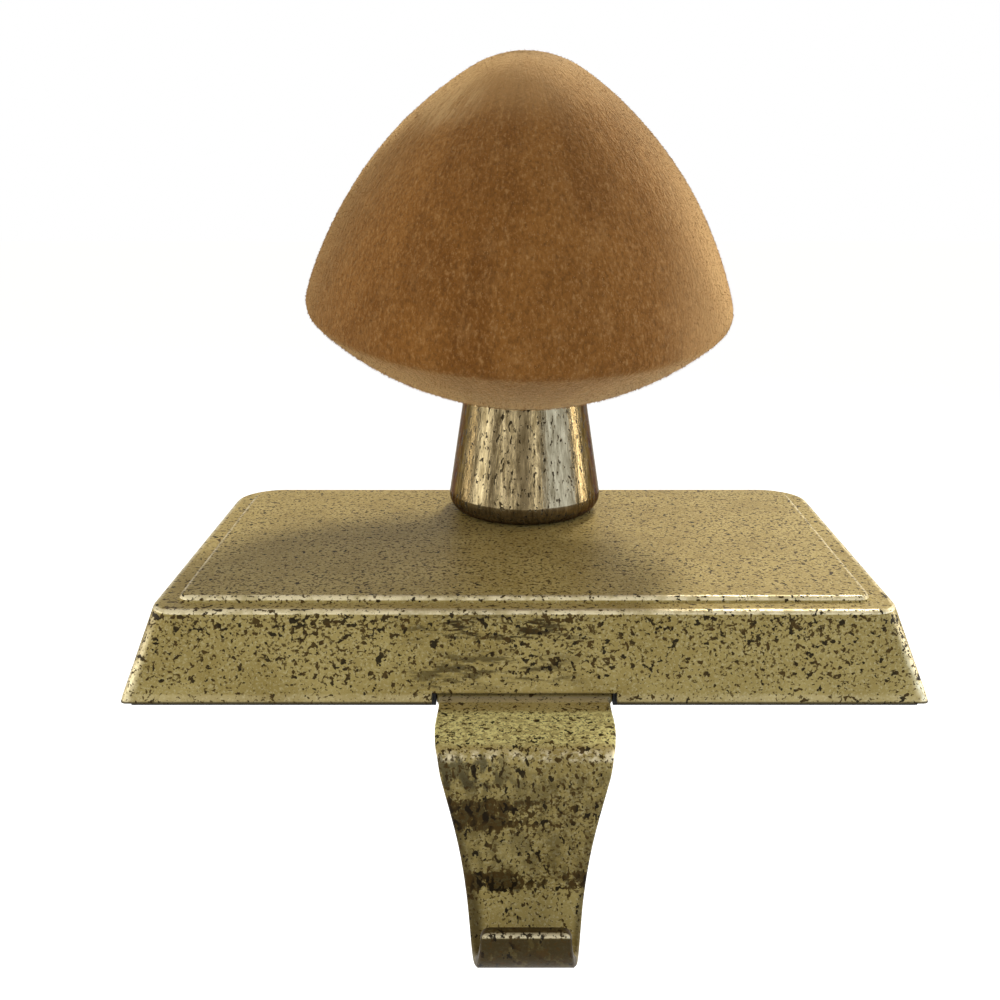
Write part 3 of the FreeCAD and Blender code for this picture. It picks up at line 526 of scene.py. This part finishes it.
# Each is a place on the cap, with the distances at which it is whole and at which it has faded out
CAP_MARKS = (((-2.0, -11.8, 91.8), 0.3, 0.9), ((-0.6, -13.8, 89.0), 0.2, 0.7))
NAP_LIGHTS = (((-13.5, -2.0, 96.0), 3.0, 10.0), ((-4.0, -9.0, 98.0), 1.0, 5.0))
NAP_RING_MM = 36.0
NAP_DROP = 0.62
VELVET_RELIEF_MM = 0.2
SHEEN_TINT = colour(255, 214, 150)
VELVET_DEEP = colour(121, 72, 20)
VELVET_MID = colour(147, 94, 37)
VELVET_BRUSHED = colour(172, 122, 66)
VELVET_FLECK = colour(190, 142, 86)
VELVET_SHADE = colour(92, 56, 20)
FIBRE_DARK = colour(84, 50, 16)
FIBRE_LIGHT = colour(196, 146, 88)
NAP_PALE = colour(214, 176, 122)
# Painted sheen on the crown and the right flank
PAINTED_SHEEN_CARAMEL = colour(206, 158, 98)
MARK_BROWN = colour(62, 36, 12)


def caramel_velvet(name):
    """Short pile: soft sheen, a broad brushed drift of the nap, flecks that run down from the crown, and
    painted sheen on the crown and the right flank.
    """
    material, tree, shader = new_material(
        name, Roughness=0.9, Specular_IOR_Level=0.15, Sheen_Weight=1.0, Sheen_Roughness=0.42,
        Sheen_Tint=SHEEN_TINT)
    spot = place_in_mm(tree)
    to_centre = tuple(-part for part in CAP_CENTRE_MM)
    level = stretch(tree, spot, (1.0, 1.0, 1.0), shift=to_centre)
    level = add(tree, "ShaderNodeVectorRotate", {
        "Vector": level, "Angle": -CAP_LEAN}, rotation_type="X_AXIS").outputs["Vector"]
    across, along, height = parts_of(tree, level)
    flat = add(tree, "ShaderNodeCombineXYZ", {0: across, 1: along}).outputs[0]
    spoke = vector_calc(tree, "NORMALIZE", {0: flat})
    ring = vector_calc(tree, "SCALE", {0: spoke, "Scale": NAP_RING_MM})
    drop = add(tree, "ShaderNodeCombineXYZ", {2: times(tree, height, NAP_DROP)}).outputs[0]
    nap = vector_calc(tree, "ADD", {0: ring, 1: drop})
    broad = noise_at(tree, nap, 0.07, detail=4.0, roughness=0.6, distortion=0.8)
    brushed = noise_at(tree, nap, 0.3, detail=3.0, roughness=0.6, distortion=0.4)
    fleck = noise_at(tree, nap, 1.25, detail=3.0, roughness=0.62)
    fibre = noise_at(tree, stretch(tree, spot, (1.0, 1.0, 0.6)), 1.7, detail=3.0, roughness=0.75)

    nap_lights = [near(tree, spot, *light) for light in NAP_LIGHTS]
    patch = times(tree, most(tree, *nap_lights), span(tree, brushed, 0.36, 0.6, 0.2, 0.65))
    # The crown and the right flank are lightened: painted sheen, where the light from behind and the right
    # grazes the pile.
    crown = times(tree, span(tree, height, 34.0, 43.5), 0.6)
    right_flank = times(tree, span(tree, parts_of(tree, spot)[0], 20.0, 37.0), 0.6)
    marks = most(tree, *[near(tree, spot, *mark) for mark in CAP_MARKS])
    coats = (
        (span(tree, brushed, 0.5, 0.7, 0.0, 0.3), VELVET_BRUSHED),
        (span(tree, fleck, 0.56, 0.72, 0.0, 0.42), VELVET_FLECK),
        (span(tree, fleck, 0.3, 0.44, 0.35, 0.0), VELVET_SHADE),
        (span(tree, fibre, 0.34, 0.52, 0.45, 0.0), FIBRE_DARK),
        (span(tree, fibre, 0.52, 0.7, 0.0, 0.4), FIBRE_LIGHT),
        (patch, NAP_PALE),
        (most(tree, crown, right_flank), PAINTED_SHEEN_CARAMEL),
        (times(tree, marks, 0.8), MARK_BROWN),
    )
    base = blend(tree, span(tree, broad, 0.32, 0.68), VELVET_DEEP, VELVET_MID)
    for share, tone in coats:
        base = blend(tree, share, base, tone)
    feed(tree, shader.inputs["Base Color"], base)
    pile = calc(tree, "ADD", times(tree, fleck, 0.9), fibre)
    dent(tree, shader, pile, VELVET_RELIEF_MM)
    return material


TIP_DEEP = colour(126, 78, 28)
TIP_LIGHT = colour(206, 158, 98)
TIP_SHADE = colour(100, 60, 20)


def velvet_tips(name):
    """The light ends of the pile, each hair with its own tone."""
    material, tree, shader = new_material(
        name, Roughness=0.8, Specular_IOR_Level=0.2, Sheen_Weight=0.6, Sheen_Roughness=0.4,
        Sheen_Tint=SHEEN_TINT)
    spot = place_in_mm(tree)
    tone = noise_at(tree, spot, 1.1, detail=2.0, roughness=0.7)
    drift = noise_at(tree, spot, 0.08, detail=3.0)
    base = blend(tree, span(tree, tone, 0.35, 0.65), TIP_DEEP, TIP_LIGHT)
    base = blend(tree, span(tree, drift, 0.35, 0.65, 0.3, 0.0), base, TIP_SHADE)
    feed(tree, shader.inputs["Base Color"], base)
    feed(tree, shader.inputs["Roughness"], span(tree, tone, 0.3, 0.7, 0.9, 0.7))
    return material


# Foam, iron and zinc, on the pieces under the tray

FOAM_DARK = colour(24, 24, 25)
FOAM_GREY = colour(44, 43, 42)
FOAM_PORE = colour(12, 12, 12)
IRON_DARK = colour(46, 44, 42)
IRON_GREY = colour(92, 88, 84)
ZINC_DULL = colour(150, 150, 148)
ZINC_BRIGHT = colour(205, 205, 200)


def pad_foam(name):
    """Dark closed foam with small pores."""
    material, tree, shader = new_material(name, Roughness=0.85)
    spot = place_in_mm(tree)
    pores = use_group(tree, SPECKLE, {
        "Vector": spot, "Grain": 2.2, "Coverage": 0.6, "Raggedness": 0.4})["Mask"]
    base = blend(tree, noise_at(tree, spot, 0.2, detail=3.0), FOAM_DARK, FOAM_GREY)
    feed(tree, shader.inputs["Base Color"], blend(tree, pores, base, FOAM_PORE))
    dent(tree, shader, times(tree, pores, -1.0), 0.15)
    return material


def cast_iron(name):
    """Rough iron with the grain of the sand it was cast in."""
    material, tree, shader = new_material(name, Metallic=0.7, Roughness=0.6)
    sand = noise_at(tree, place_in_mm(tree), 1.4, detail=5.0, roughness=0.7)
    feed(tree, shader.inputs["Base Color"], blend(tree, sand, IRON_DARK, IRON_GREY))
    feed(tree, shader.inputs["Roughness"], span(tree, sand, 0.3, 0.7, 0.5, 0.75))
    dent(tree, shader, sand, 0.2)
    return material


def zinc(name, turned_scale):
    """Plated steel with fine turned rings or scuffs."""
    material, tree, shader = new_material(name, Metallic=1.0, Roughness=0.32)
    scuff = noise_at(tree, stretch(tree, place_in_mm(tree), (turned_scale, 1.0, 1.0)), 2.0, detail=4.0)
    feed(tree, shader.inputs["Base Color"], blend(tree, scuff, ZINC_DULL, ZINC_BRIGHT))
    feed(tree, shader.inputs["Roughness"], span(tree, scuff, 0.3, 0.7, 0.25, 0.45))
    dent(tree, shader, scuff, 0.02)
    return material


# The stuffed and foam pieces: each is made in the place of its CAD solid, from a merged copy of its mesh

MERGE_DISTANCE = 1e-6
CAP_CELL = 0.62 * MM
CAP_UNEVEN = 0.35 * MM
CAP_DIMPLE = 0.5 * MM
CAP_DIMPLE_REACH = 1.3 * MM
CAP_PILE = 0.4 * MM
CAP_SLOW_HOLLOWS = 55.0
CAP_FINE_HOLLOWS = 260.0
CAP_SLOW_SHARE = 0.75
PAD_EDGE = 0.35 * MM
PAD_CORNER = math.radians(50.0)
SLOT_EDGE = (14.3 * MM, 15.3 * MM)
SLOT_END = -1.5 * MM
SLOT_SWELL = 0.4 * MM
LEVEL_FACE = 0.98


def linked(name, data):
    """A new object in the scene, at the origin."""
    item = bpy.data.objects.new(name, data)
    bpy.context.scene.collection.objects.link(item)
    return item


def merged_copy(node, name):
    """A copy of a CAD node's mesh with its doubles merged."""
    shape = bmesh.new()
    shape.from_mesh(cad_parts[node].data)
    bmesh.ops.remove_doubles(shape, verts=shape.verts, dist=MERGE_DISTANCE)
    mesh = bpy.data.meshes.new(name)
    shape.to_mesh(mesh)
    shape.free()
    mesh.materials.clear()
    return mesh


def plain_result(carrier):
    """The plain mesh that an object's modifiers give. The object is removed."""
    graph = bpy.context.evaluated_depsgraph_get()
    mesh = bpy.data.meshes.new_from_object(carrier.evaluated_get(graph))
    bpy.data.objects.remove(carrier)
    return mesh


def with_modifiers(mesh, steps):
    """The mesh after a few modifiers, each given as its kind and its settings."""
    carrier = linked("carrier", mesh)
    for kind, settings in steps:
        modifier = carrier.modifiers.new(kind.lower(), kind)
        for title, value in settings.items():
            setattr(modifier, title, value)
    return plain_result(carrier)


def press_in(mesh, depth_at):
    """Moves each point against its normal by the depth given for its place."""
    normals = [vertex.normal.copy() for vertex in mesh.vertices]
    for vertex, normal in zip(mesh.vertices, normals):
        vertex.co -= normal * depth_at(vertex.co)
    mesh.update()


def dressed_piece(mesh, name, material):
    """An object of a finished mesh, with one material."""
    piece = linked(name, mesh)
    mesh.name = name
    mesh.materials.clear()
    mesh.materials.append(material)
    return piece


def padded_piece(mesh, name, material, node):
    """Makes a finished mesh a smooth padded piece that replaces a CAD node."""
    piece = dressed_piece(mesh, name, material)
    for face in mesh.polygons:
        face.use_smooth = True
    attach(piece, "root")
    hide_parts(node)
    return piece


def cap_depth(place):
    """How far the velvet lies below the form: slow hollows, fine unevenness and two dimples, less the
    thickness of its pile."""
    slow = 0.5 + 0.5 * noise.noise(place * CAP_SLOW_HOLLOWS)
    fine = 0.5 + 0.5 * noise.noise(place * CAP_FINE_HOLLOWS)
    depth = CAP_UNEVEN * (CAP_SLOW_SHARE * slow + (1.0 - CAP_SLOW_SHARE) * fine) - CAP_PILE
    for mark in CAP_MARKS:
        gap = (place - Vector(mark[0]) * MM).length / CAP_DIMPLE_REACH
        depth += CAP_DIMPLE * math.exp(-gap * gap)
    return depth


def make_cap(material):
    """The velvet over its form: an even mesh, a soft rim, and slight hollows where the cloth is tight."""
    mesh = with_modifiers(merged_copy("mushroom_cap", "velvet"), (
        ("REMESH", {"mode": "VOXEL", "voxel_size": CAP_CELL, "adaptivity": 0.0}),
        ("SMOOTH", {"factor": 0.5, "iterations": 3}),
    ))
    press_in(mesh, cap_depth)
    return padded_piece(mesh, "velvet_cap", material, "mushroom_cap")


PILE_SIZES = {
    "Hairs per area": 1.9e6,
    "Hair length": 0.34 * MM,
    "Hair width": 0.09 * MM,
    "Fall": -1.0,
}
PILE_STRAY = 0.45
PILE_SEED = 7


def pile_tree(material):
    """Short three-sided hairs scattered over a surface, leaning out of it and downwards. Hairs per area are
    counted in a square metre."""
    tree = bpy.data.node_groups.new("Velvet pile", "GeometryNodeTree")
    tree.interface.new_socket("Geometry", in_out="INPUT", socket_type="NodeSocketGeometry")
    sockets = {}
    for title in PILE_SIZES:
        socket = tree.interface.new_socket(title, in_out="INPUT", socket_type="NodeSocketFloat")
        sockets[title] = socket.identifier
    tree.interface.new_socket("Geometry", in_out="OUTPUT", socket_type="NodeSocketGeometry")
    entry = tree.nodes.new("NodeGroupInput").outputs
    scatter = add(tree, "GeometryNodeDistributePointsOnFaces", {
        "Mesh": entry["Geometry"], "Density": entry["Hairs per area"], "Seed": PILE_SEED},
        distribute_method="RANDOM").outputs
    stray = tree.nodes.new("FunctionNodeRandomValue")
    stray.data_type = "FLOAT_VECTOR"
    stray.inputs[0].default_value = (-PILE_STRAY, -PILE_STRAY, -PILE_STRAY)
    stray.inputs[1].default_value = (PILE_STRAY, PILE_STRAY, PILE_STRAY)
    stray.inputs["Seed"].default_value = PILE_SEED
    fall = add(tree, "ShaderNodeCombineXYZ", {2: entry["Fall"]}).outputs[0]
    lean = vector_calc(tree, "ADD", {0: scatter["Normal"], 1: fall})
    lean = vector_calc(tree, "ADD", {0: lean, 1: stray.outputs[0]})
    turn = add(tree, "FunctionNodeAlignRotationToVector", {"Vector": lean}, axis="Z").outputs[0]
    root = times(tree, entry["Hair width"], 0.5)
    hair = add(tree, "GeometryNodeMeshCone", {
        "Vertices": 3, "Radius Top": 0.0, "Radius Bottom": root, "Depth": entry["Hair length"]},
        fill_type="NONE").outputs["Mesh"]
    grown = add(tree, "GeometryNodeInstanceOnPoints", {
        "Points": scatter["Points"], "Instance": hair, "Rotation": turn}).outputs[0]
    real = add(tree, "GeometryNodeRealizeInstances", {"Geometry": grown}).outputs[0]
    dressed = add(tree, "GeometryNodeSetMaterial", {"Geometry": real, "Material": material}).outputs[0]
    feed(tree, tree.nodes.new("NodeGroupOutput").inputs[0], dressed)
    return tree, sockets


def make_pile(cap, material):
    """The velvet's hairs, grown on the finished cap."""
    tree, sockets = pile_tree(material)
    carrier = linked("pile carrier", cap.data.copy())
    grow = carrier.modifiers.new("pile", "NODES")
    grow.node_group = tree
    for title, size in PILE_SIZES.items():
        grow[sockets[title]] = size
    pile = dressed_piece(plain_result(carrier), "velvet_pile", material)
    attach(pile, "root")


def make_pad(material):
    """The foam sheet: its cut edges are soft, and beside the strap they swell towards it."""
    mesh = with_modifiers(merged_copy("base_pad", "foam"), (
        ("BEVEL", {"width": PAD_EDGE, "segments": 3, "limit_method": "ANGLE", "angle_limit": PAD_CORNER}),
        ("TRIANGULATE", {}),
    ))
    for vertex in mesh.vertices:
        across, along = abs(vertex.co.x), vertex.co.y
        if SLOT_EDGE[0] < across < SLOT_EDGE[1] and along < SLOT_END:
            vertex.co.x -= math.copysign(SLOT_SWELL, vertex.co.x)
    mesh.update()
    padded_piece(mesh, "foam_pad", material, "base_pad")
    for face in mesh.polygons:
        face.use_smooth = abs(face.normal.z) < LEVEL_FACE


# The studio: a pale floor, a white surround, one window behind, and soft boxes all round the front

WHITE = (1.0, 1.0, 1.0, 1.0)
SURROUND_TINT = (1.0, 0.97, 0.92, 1.0)
SURROUND_LEVEL = 0.38
FLOOR_PAINT = (0.55, 0.55, 0.54, 1.0)
FLOOR_LIFT = 0.8
FLOOR_REACH = 6.0
FLOOR_DEPTH = -0.3
BASE_MIDDLE = (0.0, 0.0, 0.03)
STALK_MIDDLE = (0.0005, 0.0189, 0.034)
BOX_DISTANCE = 0.9
BOX_RISE = 7.0
BOX_HEIGHT = 0.5
SKY_WHITE = (0.86, 0.93, 1.0)
SKY_BLUE = (0.42, 0.6, 1.0)
SUN_WHITE = (1.0, 0.98, 0.93)
WARM_WHITE = (1.0, 0.97, 0.92)
WARM_GLINT = (1.0, 0.96, 0.88)
GOLD_GLINT = (1.0, 0.93, 0.8)

# The strips that the stalk reflects: bearing in degrees, width in metres and glow
STALK_STRIPS = ((-72.0, 0.34, 4.2), (-37.0, 0.09, 5.0), (-20.0, 0.06, 5.0), (17.0, 0.1, 4.0))


def seen_plainly(tree):
    """1 for the camera's rays and for reflected and passing ones, 0 for the light that falls on things."""
    path = add(tree, "ShaderNodeLightPath").outputs
    return most(tree, path["Is Camera Ray"], path["Is Glossy Ray"], path["Is Transmission Ray"])


def make_world():
    """White where it is seen, and a dim warm surround where it lights the object."""
    world = bpy.data.worlds.new("studio surround")
    bpy.context.scene.world = world
    world.use_nodes = True
    tree = world.node_tree
    tree.nodes.clear()
    ambient = add(tree, "ShaderNodeBackground", {"Color": SURROUND_TINT, "Strength": SURROUND_LEVEL})
    white = add(tree, "ShaderNodeBackground", {"Color": WHITE, "Strength": 1.0})
    both = add(tree, "ShaderNodeMixShader", {
        0: seen_plainly(tree), 1: ambient.outputs[0], 2: white.outputs[0]})
    out = tree.nodes.new("ShaderNodeOutputWorld")
    tree.links.new(both.outputs[0], out.inputs["Surface"])


def make_floor():
    """A pale floor well under the hook, which hangs clear of it as it does over a mantel's edge. It is lifted
    towards white where it is seen, and keeps the object's shadow."""
    near_side, far_side = -FLOOR_REACH, FLOOR_REACH
    corners = [
        (near_side, near_side, FLOOR_DEPTH), (far_side, near_side, FLOOR_DEPTH),
        (far_side, far_side, FLOOR_DEPTH), (near_side, far_side, FLOOR_DEPTH)]
    mesh = bpy.data.meshes.new("floor")
    mesh.from_pydata(corners, [], [(0, 1, 2, 3)])
    floor = linked("floor", mesh)
    material = bpy.data.materials.new("pale floor")
    material.use_nodes = True
    tree = material.node_tree
    tree.nodes.clear()
    paint = add(tree, "ShaderNodeBsdfDiffuse", {"Color": FLOOR_PAINT})
    lift = add(tree, "ShaderNodeEmission", {"Color": WHITE, "Strength": FLOOR_LIFT})
    seen_lift = add(tree, "ShaderNodeMixShader", {0: seen_plainly(tree), 2: lift.outputs[0]})
    both = add(tree, "ShaderNodeAddShader", {0: paint.outputs[0], 1: seen_lift.outputs[0]})
    out = tree.nodes.new("ShaderNodeOutputMaterial")
    tree.links.new(both.outputs[0], out.inputs["Surface"])
    mesh.materials.append(material)


def make_lamp(name, azimuth, elevation, distance, width, height, watts, tint, aim=BASE_MIDDLE):
    """A soft box at a bearing from the front towards the right and an angle above level, both in degrees."""
    turn, rise = math.radians(azimuth), math.radians(elevation)
    away = Vector((math.sin(turn) * math.cos(rise), -math.cos(turn) * math.cos(rise), math.sin(rise)))
    data = bpy.data.lights.new(name, "AREA")
    data.shape = "RECTANGLE"
    data.size, data.size_y = width, height
    data.energy = watts
    data.color = tint
    lamp = linked(name, data)
    lamp.location = Vector(aim) + away * distance
    lamp.rotation_euler = away.to_track_quat("Z", "Y").to_euler()


def light_studio():
    """The small window behind throws the cap's shadow. The strips and the window at the right are seen as
    upright streaks in the stalk, so each strip's glow is set and its power follows from its size."""
    make_lamp("window behind", 157.0, 45.0, 1.2, 0.2, 0.2, 11.0, SUN_WHITE)
    for number, (azimuth, width, glow) in enumerate(STALK_STRIPS):
        watts = glow * math.pi * width * BOX_HEIGHT
        make_lamp(
            "strip %d" % number, azimuth, BOX_RISE, BOX_DISTANCE, width, BOX_HEIGHT, watts, SKY_WHITE,
            STALK_MIDDLE)
    make_lamp("window right", 58.0, BOX_RISE, BOX_DISTANCE, 0.8, BOX_HEIGHT, 3.8, SKY_BLUE, STALK_MIDDLE)
    make_lamp("soft side right", 118.0, 25.0, BOX_DISTANCE, 0.4, 0.4, 1.6, WARM_WHITE)
    make_lamp("edge strip right", 100.0, 2.0, BOX_DISTANCE, 0.1, BOX_HEIGHT, 2.2, WARM_GLINT)
    make_lamp("edge strip left", -102.0, 2.0, BOX_DISTANCE, 0.08, BOX_HEIGHT, 0.7, GOLD_GLINT)


def make_camera():
    """The photograph's view: level with the cap, pitched down, its lens centre just right of the middle."""
    place = Vector((-1.84, -211.96, 83.87)) * MM
    pitch_down = math.radians(16.0)
    focal_px, frame_px, centre_px = 1170.0, 1000.0, 513.0
    sensor_mm = 36.0
    data = bpy.data.cameras.new("camera")
    data.sensor_width = sensor_mm
    data.lens = sensor_mm * focal_px / frame_px
    data.shift_x = (frame_px / 2 - centre_px) / frame_px
    data.clip_start = 0.01
    data.clip_end = 50.0
    camera = linked("camera", data)
    camera.location = place
    camera.rotation_euler = Euler((math.radians(90.0) - pitch_down, 0.0, 0.0))
    bpy.context.scene.camera = camera


TRAY_SPECK_RUN = (0.95, 1.0, 1.05)
STRAP_SPECK_RUN = (1.15, 1.0, 0.72)


def main():
    bpy.context.scene.view_settings.view_transform = "Standard"
    velvet = caramel_velvet("caramel velvet")
    foam = pad_foam("pad foam")
    finishes = {
        "base_tray": speckled_gold("speckled gold tray", tray_layout, TRAY_SPECK_RUN),
        "hook": speckled_gold("speckled gold strap", strap_layout, STRAP_SPECK_RUN),
        "stalk": brushed_stalk("stalk gold"),
        "mushroom_cap": velvet,
        "base_pad": foam,
        "ballast_plate": cast_iron("cast slab"),
        "hook_screws": zinc("hook screw zinc", 1.0),
        "stalk_screw": zinc("stalk screw zinc", 1.3),
        "stalk_washer": zinc("washer zinc", 0.7),
    }
    for node, material in finishes.items():
        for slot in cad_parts[node].material_slots:
            slot.material = material
    make_pile(make_cap(velvet), velvet_tips("velvet tips"))
    make_pad(foam)
    make_world()
    make_floor()
    light_studio()
    make_camera()


main()
bpy.context.view_layer.update()
